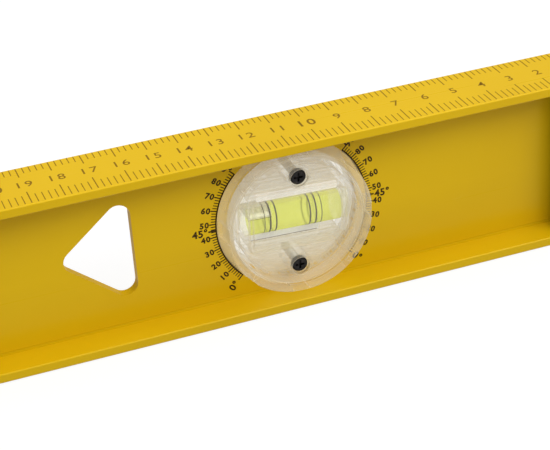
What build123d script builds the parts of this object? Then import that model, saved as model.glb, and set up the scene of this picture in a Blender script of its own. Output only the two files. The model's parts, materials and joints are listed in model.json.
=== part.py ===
from build123d import *
import math
import os

# A 60 cm I-beam spirit level, in millimetres.
# +X runs along the beam towards the zero end of its ruler, the scale side faces -Y, +Z is up.
# The origin is the centre of the bottom working face.

# ---- driving dimensions -------------------------------------------------------------------
BEAM_LENGTH = 600.0
BEAM_HEIGHT = 58.0
BEAM_WIDTH = 25.0
FLANGE_THICKNESS = 3.2
WEB_THICKNESS = 3.4
ROOT_FILLET = 0.8
EDGE_ROUND = 0.5

DIAL_FROM_ZERO_END = 107.2
DIAL_REST_TILT = 2.5           # degrees, right-hand end of the vial lower
DIAL_HOLE_RADIUS = 22.0
RUNNING_CLEARANCE = 0.05
WEB_GAP = 0.1                  # between a turning cover and the web's face
BASE_RADIUS = 25.25            # of a round cover, at the web
FACE_RADIUS = 24.1             # of a round cover, at its outer face
COVER_DEPTH = 10.2             # from the beam's centre plane to a cover's outer face
COVER_WALL = 2.0
SKIRT_WALL = 2.4               # of the tapered wall, where it meets the web
SPIGOT_WALL = 2.0
RIM_INNER_RADIUS = 21.3        # the face steps down inside this radius
RIM_STEP = 0.9
RIM_STEP_TAPER = 0.3
RIM_CHAMFER = 0.35
GRIP_COUNT = 8
GRIP_WIDTH = 5.6
GRIP_RIM_NICK = 0.4            # depth of a grip notch at the rim; it deepens with the taper
GRIP_ROOT_Y = -2.8             # where a grip notch ends, short of the web
POINTER_RISE = 0.3             # of the moulded arrows above the rim
POINTER_HALF_LENGTH = 1.1
POINTER_HALF_WIDTH = 0.9
LUG_REACH = 1.6                # of the plumb housing's lug beyond the hole
LUG_WIDTH = 4.0
LUG_GAP = 0.1

SCREW_OFFSET = 15.5            # of a screw's axis from the housing's centre
SCREW_HEAD_RADIUS = 2.6
SCREW_HEAD_HEIGHT = 1.5
SCREW_THREAD_RADIUS = 1.5
SCREW_CORE_RADIUS = 1.15
SCREW_PITCH = 1.1
SCREW_TURNS = 9
SCREW_RING_HALF = 0.35         # half the height of one thread ring
SCREW_HEAD_ROUND = 0.6
SCREW_SLOT_WIDTH = 0.7
SCREW_SLOT_LENGTH = 3.0
SCREW_SLOT_DEPTH = 1.0
SCREW_REACH = 6.4              # the screw's tip lies this far behind the centre plane
PILOT_EXTRA = 0.6              # of the pilot hole beyond the screw's tip
BOSS_RADIUS = 3.9
COUNTERBORE_RADIUS = 3.1
COUNTERBORE_DEPTH = 3.6

BLOCK_LENGTH = 36.0
BLOCK_HEIGHT = 15.4
BLOCK_DEPTH = 12.0
BLOCK_EDGE_ROUND = 0.4
BORE_RADIUS = 5.1
LIQUID_LENGTH = 32.0
PLUG_LENGTH = 2.0
PLUG_RECESS = 0.6
FIT_GAP = 0.05                 # between moulded pieces that sit still in each other

END_BUBBLE_LENGTH = 8.0
END_BUBBLE_DEPTH = 3.1
MID_BUBBLE_LENGTH = 12.0
MID_BUBBLE_DEPTH = 3.2
BUBBLE_END_ROUND = 0.6
BUBBLE_GAP = 0.05              # around a bubble, to the bore and to the liquid

TRIANGLE_BASE_FROM_ZERO_END = 159.4
TRIANGLE_LENGTH = 24.7
TRIANGLE_HALF_ANGLE = 39.3
TRIANGLE_CORNER = 3.9
TRIANGLE_HEIGHT = 29.55        # of the point above the bottom working face
TRIANGLE_PAIR_GAP = 52.0       # between the two points of a facing pair

CENTRE_VIAL_HEIGHT = 37.0
CENTRE_COVER_LENGTH = 64.0
CENTRE_COVER_HEIGHT = 34.0
CENTRE_COVER_CORNER = 4.0
CENTRE_COVER_CHAMFER = 0.8
CENTRE_FRAME = 4.0             # by which the centre cover overlaps the web
CENTRE_SCREW_OFFSET = 23.5
TOP_WINDOW_LENGTH = 34.0
TOP_WINDOW_WIDTH = 7.6

RIB_THICKNESS = 1.3
RIB_END_Y = -0.6
CRADLE_RIB_LENGTH = 31.0       # of the ribs that hold the vial block from above and below
SEAT_RIB_OFFSET = 15.6         # of the ribs behind the block's ends, from its middle
ROUND_COVER_RIBS = ((30.0, 12.9), (22.0, 16.6))    # length, distance from the vial's axis

CAP_PLATE = 3.0
CAP_INSET = 0.3
CAP_BLOCK_LENGTH = 14.0
CAP_NUB_RADIUS = 2.3
CAP_NUB_HEIGHT = 1.5
CAP_NUB_SPREAD = 12.0          # of the nubs above and below mid-height
CAP_NUB_INSET = 8.0            # of the nubs from the beam's end
CAP_NUB_CLEARANCE = 0.2
CAP_CORNER = 1.2
CAP_EDGE_ROUND = 0.8
CAP_GAP = 0.15

OVERCUT = 1.0                  # by which a cutting shape passes the surface it cuts
JOIN = 0.2                     # by which joined shapes run into each other

HALF_HEIGHT = BEAM_HEIGHT / 2
HALF_WEB = WEB_THICKNESS / 2
CHANNEL_HEIGHT = BEAM_HEIGHT - 2 * FLANGE_THICKNESS
DIAL_X = BEAM_LENGTH / 2 - DIAL_FROM_ZERO_END
TRIANGLE_BASE_X = BEAM_LENGTH / 2 - TRIANGLE_BASE_FROM_ZERO_END
SPIGOT_RADIUS = DIAL_HOLE_RADIUS - RUNNING_CLEARANCE
COVER_INNER_Y = -COVER_DEPTH + COVER_WALL
CRADLE_RIB_Z = BLOCK_HEIGHT / 2 + FIT_GAP + RIB_THICKNESS / 2
BORE_LEFT = BLOCK_LENGTH / 2 - PLUG_LENGTH - LIQUID_LENGTH
BORE_RIGHT = BORE_LEFT + LIQUID_LENGTH
CAP_NUB_X = BEAM_LENGTH / 2 - CAP_NUB_INSET


# ---- small helpers ------------------------------------------------------------------------
def along_y(x, y, z):
    """A sketch plane whose normal points along -Y, with +X to the right and +Z up."""
    return Plane(origin=(x, y, z), x_dir=(1, 0, 0), z_dir=(0, -1, 0))


def y_cylinder(radius, y_from, y_to, x=0.0, z=0.0):
    """A cylinder along Y from y_from to y_to."""
    middle = (y_from + y_to) / 2
    return Pos(x, middle, z) * Rot(90, 0, 0) * Cylinder(radius, abs(y_to - y_from))


def x_cylinder(radius, x_from, x_to):
    """A cylinder on the X axis from x_from to x_to."""
    return Pos((x_from + x_to) / 2, 0, 0) * Rot(0, 90, 0) * Cylinder(radius, abs(x_to - x_from))


def slab(length, height, y_from, y_to, x=0.0, z=0.0):
    """A box centred on x and z, from y_from to y_to."""
    return Pos(x, (y_from + y_to) / 2, z) * Box(length, abs(y_to - y_from), height)


def rounded_slab(length, height, corner, y_from, y_to, x=0.0, z=0.0):
    """A slab with rounded corners in its X-Z outline."""
    outline = along_y(x, max(y_from, y_to), z) * RectangleRounded(length, height, corner)
    return extrude(outline, abs(y_to - y_from))


def revolve_about_y(points):
    """A solid of revolution about the Y axis from (radius, y) points."""
    outline = make_face(Polyline([(radius, y, 0) for radius, y in points], close=True))
    return revolve(outline, Axis.Y, 360)


def write(node, shape):
    """One STEP file per node, under the node's own name."""
    shape.label = node
    export_step(shape, os.path.join("parts", node + ".step"))


# ---- beam ---------------------------------------------------------------------------------
def beam_profile():
    """The I-section in the Y-Z plane, with rounded roots and edges."""
    section = Rectangle(BEAM_WIDTH, BEAM_HEIGHT)
    side = (BEAM_WIDTH - WEB_THICKNESS) / 2
    for direction in (-1, 1):
        section -= Pos(direction * (HALF_WEB + side / 2), 0) * Rectangle(side, CHANNEL_HEIGHT)
    middle = BEAM_WIDTH / 4
    roots = [v for v in section.vertices() if abs(v.X) < middle]
    section = fillet(roots, ROOT_FILLET)
    tips = [v for v in section.vertices() if abs(v.X) > middle]
    section = fillet(tips, EDGE_ROUND)
    return Plane(origin=(0, 0, HALF_HEIGHT), x_dir=(0, 1, 0), z_dir=(1, 0, 0)) * section


def through_web(shape, *sizes, x, z):
    """A cutting slab or cylinder that passes right through the web at x and z."""
    return shape(*sizes, -HALF_WEB - OVERCUT, HALF_WEB + OVERCUT, x, z)


def triangle_opening(base_x, point_towards):
    """A rounded triangle through the web; its point lies on the point_towards side (-1 or +1)."""
    half_base = TRIANGLE_LENGTH * math.tan(math.radians(TRIANGLE_HALF_ANGLE))
    corners = [(0, -half_base), (0, half_base), (point_towards * TRIANGLE_LENGTH, 0)]
    outline = make_face(Polyline(corners, close=True))
    outline = fillet(outline.vertices(), TRIANGLE_CORNER)
    plane = along_y(base_x, HALF_WEB + OVERCUT, TRIANGLE_HEIGHT)
    return extrude(plane * outline, WEB_THICKNESS + 2 * OVERCUT)


def triangle_bases():
    """Base position and pointing direction of the four triangles: a facing pair on each side."""
    point_x = TRIANGLE_BASE_X - TRIANGLE_LENGTH
    second_base = point_x - TRIANGLE_PAIR_GAP - TRIANGLE_LENGTH
    for side in (-1, 1):
        yield side * TRIANGLE_BASE_X, -side
        yield side * second_base, side


def centre_opening():
    """The opening for the centre housing, and the window above it in the top flange."""
    length = CENTRE_COVER_LENGTH - 2 * CENTRE_FRAME
    bottom = CENTRE_VIAL_HEIGHT - CENTRE_COVER_HEIGHT / 2 + CENTRE_FRAME
    top = BEAM_HEIGHT - FLANGE_THICKNESS
    opening = through_web(slab, length, top - bottom, x=0, z=(top + bottom) / 2)
    window = Pos(0, 0, BEAM_HEIGHT) * SlotOverall(TOP_WINDOW_LENGTH, TOP_WINDOW_WIDTH)
    return opening + extrude(window, -FLANGE_THICKNESS - OVERCUT)


def i_beam():
    beam = extrude(beam_profile(), BEAM_LENGTH / 2, both=True)
    for x in (-DIAL_X, DIAL_X):
        beam -= through_web(y_cylinder, DIAL_HOLE_RADIUS, x=x, z=HALF_HEIGHT)
    beam -= lock_notch(-DIAL_X, 0)
    for base_x, direction in triangle_bases():
        beam -= triangle_opening(base_x, direction)
    beam -= centre_opening()
    for side in (-1, 1):
        for z in cap_nub_heights():
            beam -= through_web(y_cylinder, CAP_NUB_RADIUS + CAP_NUB_CLEARANCE, x=side * CAP_NUB_X, z=z)
    return beam


# ---- round housing, for the turning dial and for the fixed plumb vial ------------------------
def lock_notch(x, shrink):
    """The slot in the web below the plumb housing, or with a shrink, the lug that sits in it."""
    height = DIAL_HOLE_RADIUS + LUG_REACH - shrink
    half = HALF_WEB - shrink if shrink else HALF_WEB + OVERCUT
    return slab(LUG_WIDTH - 2 * shrink, height, -half, half, x, HALF_HEIGHT - height / 2)


def round_shell():
    """A hollow front cover: tapered wall, flat face with a raised rim, and a spigot for the web."""
    web_y = -HALF_WEB - WEB_GAP
    points = [
        (0, -COVER_DEPTH + RIM_STEP),
        (RIM_INNER_RADIUS - RIM_STEP_TAPER, -COVER_DEPTH + RIM_STEP),
        (RIM_INNER_RADIUS, -COVER_DEPTH),
        (FACE_RADIUS - RIM_CHAMFER, -COVER_DEPTH),
        (FACE_RADIUS, -COVER_DEPTH + RIM_CHAMFER),
        (BASE_RADIUS, web_y),
        (BASE_RADIUS - SKIRT_WALL, web_y),
        (SPIGOT_RADIUS, COVER_INNER_Y),
        (SPIGOT_RADIUS, 0),
        (SPIGOT_RADIUS - SPIGOT_WALL, 0),
        (SPIGOT_RADIUS - SPIGOT_WALL, COVER_INNER_Y),
        (0, COVER_INNER_Y),
    ]
    return revolve_about_y(points)


def grip_notches():
    """Flat-floored notches around the tapered wall, for the fingers; each just nicks the rim."""
    floor = FACE_RADIUS - GRIP_RIM_NICK
    reach = BASE_RADIUS - floor + OVERCUT
    notch = slab(reach, GRIP_WIDTH, -COVER_DEPTH - OVERCUT, GRIP_ROOT_Y, floor + reach / 2, 0)
    for index in range(GRIP_COUNT):
        yield Rot(0, index * 360 / GRIP_COUNT, 0) * notch


def pointer(angle):
    """A small raised arrow on the rim; the angle is from the vial's axis, positive downwards."""
    radius = (RIM_INNER_RADIUS + FACE_RADIUS) / 2
    back = radius - POINTER_HALF_LENGTH
    corners = [(radius + POINTER_HALF_LENGTH, 0), (back, POINTER_HALF_WIDTH), (back, -POINTER_HALF_WIDTH)]
    outline = make_face(Polyline(corners, close=True))
    plane = along_y(0, -COVER_DEPTH + JOIN, 0)
    return Rot(0, angle, 0) * extrude(plane * outline, JOIN + POINTER_RISE)


def inside_ribs(rows):
    """Ribs parallel to the vial, above and below it; rows holds each rib's length and offset."""
    for length, offset in rows:
        for side in (-1, 1):
            yield slab(length, RIB_THICKNESS, COVER_INNER_Y - JOIN, RIB_END_Y, 0, side * offset)


def seat_ribs():
    """Two upright ribs that end just short of the vial block and hold it in place."""
    for side in (-1, 1):
        end = -BLOCK_DEPTH / 2 - FIT_GAP
        yield slab(RIB_THICKNESS, 2 * CRADLE_RIB_Z, COVER_INNER_Y - JOIN, end, side * SEAT_RIB_OFFSET, 0)


def screw_boss(x, z, front):
    """A boss for one screw: through-hole and counterbore in front, blind pilot hole behind."""
    boss = y_cylinder(BOSS_RADIUS, COVER_INNER_Y - JOIN, 0, x, z)
    hole_end = -COVER_DEPTH if front else -SCREW_REACH - PILOT_EXTRA
    hole = y_cylinder(SCREW_THREAD_RADIUS + FIT_GAP, hole_end, OVERCUT, x, z)
    if front:
        hole += y_cylinder(COUNTERBORE_RADIUS, -COVER_DEPTH, -COVER_DEPTH + COUNTERBORE_DEPTH, x, z)
    return boss, hole


def round_cover(front, gripped):
    """One half of a round housing, built facing -Y with the vial along X, centred on the origin."""
    cover = round_shell()
    bosses = [screw_boss(0, side * SCREW_OFFSET, front) for side in (-1, 1)]
    cover += [boss for boss, hole in bosses]
    cover += list(inside_ribs(((CRADLE_RIB_LENGTH, CRADLE_RIB_Z),) + ROUND_COVER_RIBS))
    cover += list(seat_ribs())
    cover -= [hole for boss, hole in bosses]
    if gripped:
        cover -= list(grip_notches())
        cover += [pointer(45), pointer(135)]
    return cover


def facing_back(shape):
    """Turns a front cover's shape about the X axis, so that it faces +Y."""
    return Rot(180, 0, 0) * shape


# ---- vial: block, plug, liquid, bubble ----------------------------------------------------
def vial_block():
    """The clear block that sits between the two covers, with a bore from its right-hand end."""
    block = slab(BLOCK_LENGTH, BLOCK_HEIGHT, -BLOCK_DEPTH / 2, BLOCK_DEPTH / 2)
    block = fillet(block.edges(), BLOCK_EDGE_ROUND)
    block -= x_cylinder(BORE_RADIUS, BORE_LEFT, BLOCK_LENGTH)
    return block


def vial_plug():
    """A stepped plug that seals the open end of the bore."""
    plug = x_cylinder(BORE_RADIUS, BORE_RIGHT, BLOCK_LENGTH / 2)
    plug -= x_cylinder(BORE_RADIUS / 2, BLOCK_LENGTH / 2 - PLUG_RECESS, BLOCK_LENGTH)
    return plug


def liquid_column():
    return x_cylinder(BORE_RADIUS, BORE_LEFT, BORE_RIGHT)


def bubble(length, depth, centre_x):
    """The top of the bore down to a flat liquid level, with rounded ends."""
    radius = BORE_RADIUS - BUBBLE_GAP
    column = x_cylinder(radius, centre_x - length / 2, centre_x + length / 2)
    wide = radius + OVERCUT
    shape = column - slab(length + OVERCUT, 2 * radius, -wide, wide, centre_x, -depth)
    ends = shape.faces().sort_by(Axis.X)[0].edges() + shape.faces().sort_by(Axis.X)[-1].edges()
    return fillet(ends, BUBBLE_END_ROUND)


def bubble_room(length, depth, centre_x):
    """The space that the liquid leaves for the bubble at rest."""
    height = BORE_RADIUS * 2
    z = BORE_RADIUS - depth - 2 * BUBBLE_GAP + height / 2
    wide = BORE_RADIUS + OVERCUT
    return slab(length + 2 * BUBBLE_GAP, height, -wide, wide, centre_x, z)


def vial_parts(name, bubble_length, bubble_depth, bubble_x, place):
    """Writes the four nodes of one vial; place moves them from the origin into the beam."""
    size = (bubble_length, bubble_depth, bubble_x)
    write(name + "_vial_block", place * vial_block())
    write(name + "_vial_plug", place * vial_plug())
    write(name + "_vial_liquid", place * (liquid_column() - bubble_room(*size)))
    write(name + "_vial_bubble", place * bubble(*size))


# ---- screws -------------------------------------------------------------------------------
def screw():
    """A pan-head self-tapping screw along Y, its head's top just below the cover's face."""
    head_top = -COVER_DEPTH + COUNTERBORE_DEPTH - SCREW_HEAD_HEIGHT
    seat = -COVER_DEPTH + COUNTERBORE_DEPTH
    body = y_cylinder(SCREW_HEAD_RADIUS, head_top, seat)
    body = fillet(body.edges().sort_by(Axis.Y)[0], SCREW_HEAD_ROUND)
    body += y_cylinder(SCREW_CORE_RADIUS, seat, SCREW_REACH)
    for turn in range(SCREW_TURNS):
        y = SCREW_REACH - SCREW_PITCH - turn * SCREW_PITCH
        body += Pos(0, y, 0) * revolve_about_y([
            (0, -SCREW_RING_HALF),
            (SCREW_CORE_RADIUS, -SCREW_RING_HALF),
            (SCREW_THREAD_RADIUS, 0),
            (SCREW_CORE_RADIUS, SCREW_RING_HALF),
            (0, SCREW_RING_HALF),
        ])
    slot_sizes = (SCREW_SLOT_LENGTH, SCREW_SLOT_WIDTH)
    for length, width in (slot_sizes, slot_sizes[::-1]):
        body -= slab(length, width, head_top - OVERCUT, head_top + SCREW_SLOT_DEPTH)
    return body


def screw_group(offsets):
    """Identical screws as one node of separate solids."""
    return Compound(children=[Pos(x, 0, z) * screw() for x, z in offsets])


# ---- rectangular housing of the centre vial ---------------------------------------------------
def rectangular_cover(front):
    """One half of the centre housing, facing -Y, centred on the vial's axis."""
    web_y = -HALF_WEB
    spigot_length = CENTRE_COVER_LENGTH - 2 * CENTRE_FRAME - 2 * FIT_GAP
    spigot_height = CENTRE_COVER_HEIGHT - 2 * CENTRE_FRAME - 2 * FIT_GAP
    cover = rounded_slab(CENTRE_COVER_LENGTH, CENTRE_COVER_HEIGHT, CENTRE_COVER_CORNER, -COVER_DEPTH, web_y)
    cover = chamfer(cover.faces().sort_by(Axis.Y)[0].edges(), CENTRE_COVER_CHAMFER)
    cover += slab(spigot_length, spigot_height, web_y - JOIN, 0)
    hollow = (spigot_length - 2 * COVER_WALL, spigot_height - 2 * COVER_WALL)
    cover -= slab(*hollow, COVER_INNER_Y, OVERCUT)
    bosses = [screw_boss(side * CENTRE_SCREW_OFFSET, 0, front) for side in (-1, 1)]
    cover += [boss for boss, hole in bosses]
    cover += list(inside_ribs([(spigot_length - COVER_WALL, CRADLE_RIB_Z)]))
    cover += list(seat_ribs())
    cover -= [hole for boss, hole in bosses]
    return cover


# ---- end caps -----------------------------------------------------------------------------
def cap_nub_heights():
    return (HALF_HEIGHT - CAP_NUB_SPREAD, HALF_HEIGHT + CAP_NUB_SPREAD)


def end_cap(side):
    """A moulded cap: end plate, and two blocks that fill the channels and snap into the web."""
    beam_end = side * BEAM_LENGTH / 2
    plane = Plane(origin=(beam_end, 0, HALF_HEIGHT), x_dir=(0, 1, 0), z_dir=(side, 0, 0))
    outline = RectangleRounded(BEAM_WIDTH - 2 * CAP_INSET, BEAM_HEIGHT - 2 * CAP_INSET, CAP_CORNER)
    cap = extrude(plane * outline, CAP_PLATE)
    cap = fillet(cap.faces().sort_by(Axis.X)[-1 if side > 0 else 0].edges(), CAP_EDGE_ROUND)
    block_inner_y = HALF_WEB + CAP_GAP
    block_outer_y = BEAM_WIDTH / 2 - ROOT_FILLET - CAP_INSET
    block_height = CHANNEL_HEIGHT - 2 * CAP_GAP - 2 * ROOT_FILLET
    block_x = beam_end - side * (CAP_BLOCK_LENGTH - JOIN) / 2
    for front in (-1, 1):
        ends = (front * block_inner_y, front * block_outer_y)
        cap += slab(CAP_BLOCK_LENGTH + JOIN, block_height, *ends, block_x, HALF_HEIGHT)
        nub_ends = (front * (HALF_WEB + CAP_GAP + JOIN), front * (HALF_WEB - CAP_NUB_HEIGHT))
        for z in cap_nub_heights():
            cap += y_cylinder(CAP_NUB_RADIUS, *nub_ends, side * CAP_NUB_X, z)
    return cap


# ---- assembly -----------------------------------------------------------------------------
def build_angle_dial():
    place = Pos(DIAL_X, 0, HALF_HEIGHT) * Rot(0, DIAL_REST_TILT, 0)
    write("dial_front_cover", place * round_cover(front=True, gripped=True))
    write("dial_rear_cover", place * facing_back(round_cover(front=False, gripped=True)))
    write("dial_screws", place * screw_group([(0, -SCREW_OFFSET), (0, SCREW_OFFSET)]))
    left_end = BORE_LEFT + END_BUBBLE_LENGTH / 2 + BUBBLE_GAP
    vial_parts("angle", END_BUBBLE_LENGTH, END_BUBBLE_DEPTH, left_end, place)


def build_plumb_vial():
    """The vial stands upright, so its housing is turned by 90 degrees; its lug points down."""
    place = Pos(-DIAL_X, 0, HALF_HEIGHT) * Rot(0, -90, 0)
    lug = lock_notch(-DIAL_X, LUG_GAP)
    lug -= y_cylinder(SPIGOT_RADIUS - JOIN, -COVER_DEPTH, COVER_DEPTH, -DIAL_X, HALF_HEIGHT)
    front_lug = lug & slab(LUG_WIDTH, 2 * BEAM_HEIGHT, -COVER_DEPTH, 0, -DIAL_X, 0)
    write("plumb_front_cover", place * round_cover(front=True, gripped=False) + front_lug)
    write("plumb_rear_cover", place * facing_back(round_cover(front=False, gripped=False)))
    write("plumb_cover_screws", place * screw_group([(0, -SCREW_OFFSET), (0, SCREW_OFFSET)]))
    top_end = BORE_RIGHT - END_BUBBLE_LENGTH / 2 - BUBBLE_GAP
    vial_parts("plumb", END_BUBBLE_LENGTH, END_BUBBLE_DEPTH, top_end, place)


def build_centre_vial():
    place = Pos(0, 0, CENTRE_VIAL_HEIGHT)
    write("centre_front_cover", place * rectangular_cover(front=True))
    write("centre_rear_cover", place * facing_back(rectangular_cover(front=False)))
    offsets = [(-CENTRE_SCREW_OFFSET, 0), (CENTRE_SCREW_OFFSET, 0)]
    write("centre_cover_screws", place * screw_group(offsets))
    vial_parts("centre", MID_BUBBLE_LENGTH, MID_BUBBLE_DEPTH, (BORE_LEFT + BORE_RIGHT) / 2, place)


os.makedirs("parts", exist_ok=True)
write("i_beam", i_beam())
write("end_cap_left", end_cap(-1))
write("end_cap_right", end_cap(1))
build_angle_dial()
build_plumb_vial()
build_centre_vial()
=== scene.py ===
"""Looks of the spirit level: paint, prints, clear housings, vials, light and camera."""

import functools
import json
import math

import bmesh
import bpy
from mathutils import Matrix, Vector


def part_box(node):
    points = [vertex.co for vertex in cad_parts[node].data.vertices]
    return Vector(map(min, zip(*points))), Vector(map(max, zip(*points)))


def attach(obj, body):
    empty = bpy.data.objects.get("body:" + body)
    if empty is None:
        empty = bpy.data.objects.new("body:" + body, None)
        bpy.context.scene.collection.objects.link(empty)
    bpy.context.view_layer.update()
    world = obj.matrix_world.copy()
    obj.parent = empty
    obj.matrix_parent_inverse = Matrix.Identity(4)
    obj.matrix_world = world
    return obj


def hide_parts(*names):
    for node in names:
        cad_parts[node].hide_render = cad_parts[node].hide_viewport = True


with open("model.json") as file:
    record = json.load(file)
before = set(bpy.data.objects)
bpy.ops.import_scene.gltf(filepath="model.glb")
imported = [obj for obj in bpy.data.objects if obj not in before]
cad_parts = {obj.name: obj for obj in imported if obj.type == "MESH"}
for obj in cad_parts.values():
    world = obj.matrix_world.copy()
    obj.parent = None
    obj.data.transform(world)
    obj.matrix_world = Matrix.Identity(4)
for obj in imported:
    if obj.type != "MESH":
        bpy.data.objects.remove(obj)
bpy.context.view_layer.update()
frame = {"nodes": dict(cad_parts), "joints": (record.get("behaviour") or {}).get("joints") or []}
nodes = frame["nodes"]
joints = {joint["name"]: joint for joint in frame["joints"]}

MM = 0.001

# ---- dimensions taken from the frame --------------------------------------------------------
beam_low, beam_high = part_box("i_beam")
ZERO_END = beam_high.x                       # the ruler's zero is the beam's right-hand end
BEAM_TOP = beam_high.z
BEAM_EDGE = beam_high.y
DIAL_CENTRE = Vector(joints["dial_turn"]["pos_m"])
dial_low, dial_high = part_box("dial_front_cover")
DIAL_RADIUS = (dial_high.x - dial_low.x) / 2
FACE_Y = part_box("plumb_front_cover")[0].y
angle_axis = joints["angle_bubble_slide"]["axis"]
DIAL_TILT = math.atan2(-angle_axis[2], angle_axis[0])
centre_block_low, centre_block_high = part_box("centre_vial_block")
BLOCK_HEIGHT = centre_block_high.z - centre_block_low.z
liquid_low, liquid_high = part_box("centre_vial_liquid")
LIQUID_LENGTH = liquid_high.x - liquid_low.x
BORE_RADIUS = (liquid_high.z - liquid_low.z) / 2

# ---- dimensions of the web, the prints, the bands and the liquid ------------------------------
WEB_FACE = 1.7 * MM
ROOT_ROUND = 0.9 * MM                        # reach of the rounded roots beyond the web's face
FLANGE_SKIN = 2.0 * MM                       # the working faces lie outside this depth
INK_RISE = 0.02 * MM
INK_SINK = 0.02 * MM
RULER_STEP = 2 * MM                          # between neighbouring ruler lines
STEPS_PER_CENTIMETRE = 5
RULER_FRONT_EDGE = -BEAM_EDGE + 0.8 * MM     # where the front row of lines starts
RULER_BACK_EDGE = BEAM_EDGE - 0.6 * MM
RULER_FRONT_ENDS = {"long": -4.3 * MM, "short": -6.4 * MM}
RULER_BACK_ENDS = {"long": 5.9 * MM, "short": 8.1 * MM}
RULER_WIDTHS = {"long": 0.34 * MM, "short": 0.28 * MM}
RULER_FIGURE_OFFSET = (0.6 * MM, 0.7 * MM)
FIGURE_HEIGHTS = {"tens": 4.0 * MM, "other": 3.6 * MM}
FIGURE_BOLDNESS = {"tens": 0.015, "other": 0.004}
WINDOW_HALF = 18 * MM                        # no figures over the window in the top flange
SCALE_STEP = 2                               # degrees between neighbouring scale lines
SCALE_FOOT = DIAL_RADIUS + 0.05 * MM
SCALE_LENGTHS = {"long": 2.4 * MM, "short": 1.9 * MM, "halfway": 2.8 * MM}
SCALE_WIDTHS = {"long": 0.42 * MM, "short": 0.32 * MM, "halfway": 0.55 * MM}
SCALE_ARC_OFFSET = 0.2 * MM
SCALE_ARC_WIDTH = 0.5 * MM
SCALE_FIGURE_RADIUS = 29.3 * MM
SCALE_FIGURE_HEIGHT = 1.9 * MM
SCALE_DEGREE_RADII = {0: 30.2 * MM, 45: 30.9 * MM, 90: 29.8 * MM}
SCALE_DEGREE_HEIGHT = 2.4 * MM
RING_OFFSETS = (5.7 * MM, 7.7 * MM, 9.6 * MM)
RING_WIDTHS = (0.46 * MM, 0.50 * MM, 0.24 * MM)
RING_CENTRES = {"angle": -0.8 * MM, "plumb": 0.0, "centre": 0.0}
UPPER_BAND_SPAN = (-11.5 * MM, 15.8 * MM)
LOWER_BAND_SPAN = (-14.5 * MM, 9.0 * MM)
BAND_CORNER = 0.5 * MM
BAND_HALF_DEPTH = 0.4 * MM
UPPER_BAND_BACK = -1.8 * MM
LIQUID_GAP = 0.02 * MM                       # between the liquid column and its bore
LIQUID_DISH = 0.5 * MM                       # radius of the curve that dishes the liquid's ends
PALE_END = 1.8 * MM                          # reach of the liquid's pale ends

# ---- how the clear plastic looks ---------------------------------------------------------------
FACE_SHEEN = 0.035                           # share reflected by a face seen square on
WALL_HAZE = 0.50                             # haze added where a face is seen edge-on
FOOT_HAZE = 0.20                             # haze added at the feet of the housings' walls
RIM_HAZE = 0.13                              # haze added on the dial's grip rim
RIM_INNER_RADIUS = 21.3 * MM
NOTCH_HALF_ANGLE = math.radians(5.0)
FOOT_LINE = 0.30 * MM                        # thickness of the dark line under a bubble
EDGE_HIGHLIGHT = 0.55                             # painted highlight: glowing haze added along sharp edges
EDGE_WIDTH = 0.3 * MM                        # how far an edge's painted highlight reaches
PAINTED_GLOW = 0.16                        # painted glow: emission strength added to cloudy plastic, the liquid and the bubbles
BLOCK_BEND = 1.15                            # refraction that makes the vials look a little nearer
WELL_RADIUS = 3.1 * MM                       # of the wells that the screw heads sit in
WELL_LINE = 0.8 * MM                         # depth of the dark line around a well
SCREW_HEAD_FOOT = 6.0 * MM                   # depth from the middle plane where the heads begin

# ---- camera ------------------------------------------------------------------------------------
CAMERA_AZIMUTH = math.radians(18.36)         # to the left of straight on
CAMERA_ELEVATION = math.radians(28.54)
CAMERA_ROLL = math.radians(4.14)
CAMERA_TARGET = Vector((ZERO_END - 110 * MM, 0, 30 * MM))
CAMERA_DISTANCE = 534.5 * MM
CAMERA_SENSOR = 36.0
CAMERA_LENS = 110.18
CAMERA_SHIFT = (-0.01249, -0.02809)


# ---- node helpers ---------------------------------------------------------------------------
def new_material(name):
    material = bpy.data.materials.new(name)
    material.use_nodes = True
    material.node_tree.nodes.clear()
    return material, material.node_tree


def add(tree, kind, inputs=None, **settings):
    """Adds a shader node; an input's value is a constant or another node's output socket."""
    node = tree.nodes.new("ShaderNode" + kind)
    for name, value in settings.items():
        setattr(node, name, value)
    for name, value in (inputs or {}).items():
        if isinstance(value, bpy.types.NodeSocket):
            tree.links.new(value, node.inputs[name])
        else:
            node.inputs[name].default_value = value
    return node


def maths(tree, operation, first, second=0.0, clamp=False):
    node = add(tree, "Math", {0: first, 1: second}, operation=operation, use_clamp=clamp)
    return node.outputs[0]


def noise(tree, scale, detail=2.0, stretch=(1, 1, 1), offset=(0, 0, 0)):
    """Noise in the piece's own coordinates, in metres."""
    coordinates = add(tree, "TexCoord").outputs["Object"]
    mapping = add(tree, "Mapping", {"Vector": coordinates, "Scale": stretch, "Location": offset})
    texture = add(tree, "TexNoise", {"Vector": mapping.outputs[0], "Scale": scale, "Detail": detail})
    return texture.outputs["Fac"]


def remap(tree, value, low, high, to_low=0.0, to_high=1.0):
    node = add(tree, "MapRange", {
        "Value": value, "From Min": low, "From Max": high, "To Min": to_low, "To Max": to_high,
    })
    return node.outputs[0]


def mix_colour(tree, factor, first, second):
    """A colour mix; the Mix node's colour sockets are its inputs 6 and 7 and its output 2."""
    node = tree.nodes.new("ShaderNodeMix")
    node.data_type = "RGBA"
    for index, value in ((0, factor), (6, first), (7, second)):
        if isinstance(value, bpy.types.NodeSocket):
            tree.links.new(value, node.inputs[index])
        else:
            node.inputs[index].default_value = value
    return node.outputs[2]


def bump(tree, height, distance, strength=1.0, normal=None):
    inputs = {"Height": height, "Distance": distance, "Strength": strength}
    if normal is not None:
        inputs["Normal"] = normal
    return add(tree, "Bump", inputs).outputs[0]


def finish_material(tree, shader):
    add(tree, "OutputMaterial", {"Surface": shader})


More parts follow.
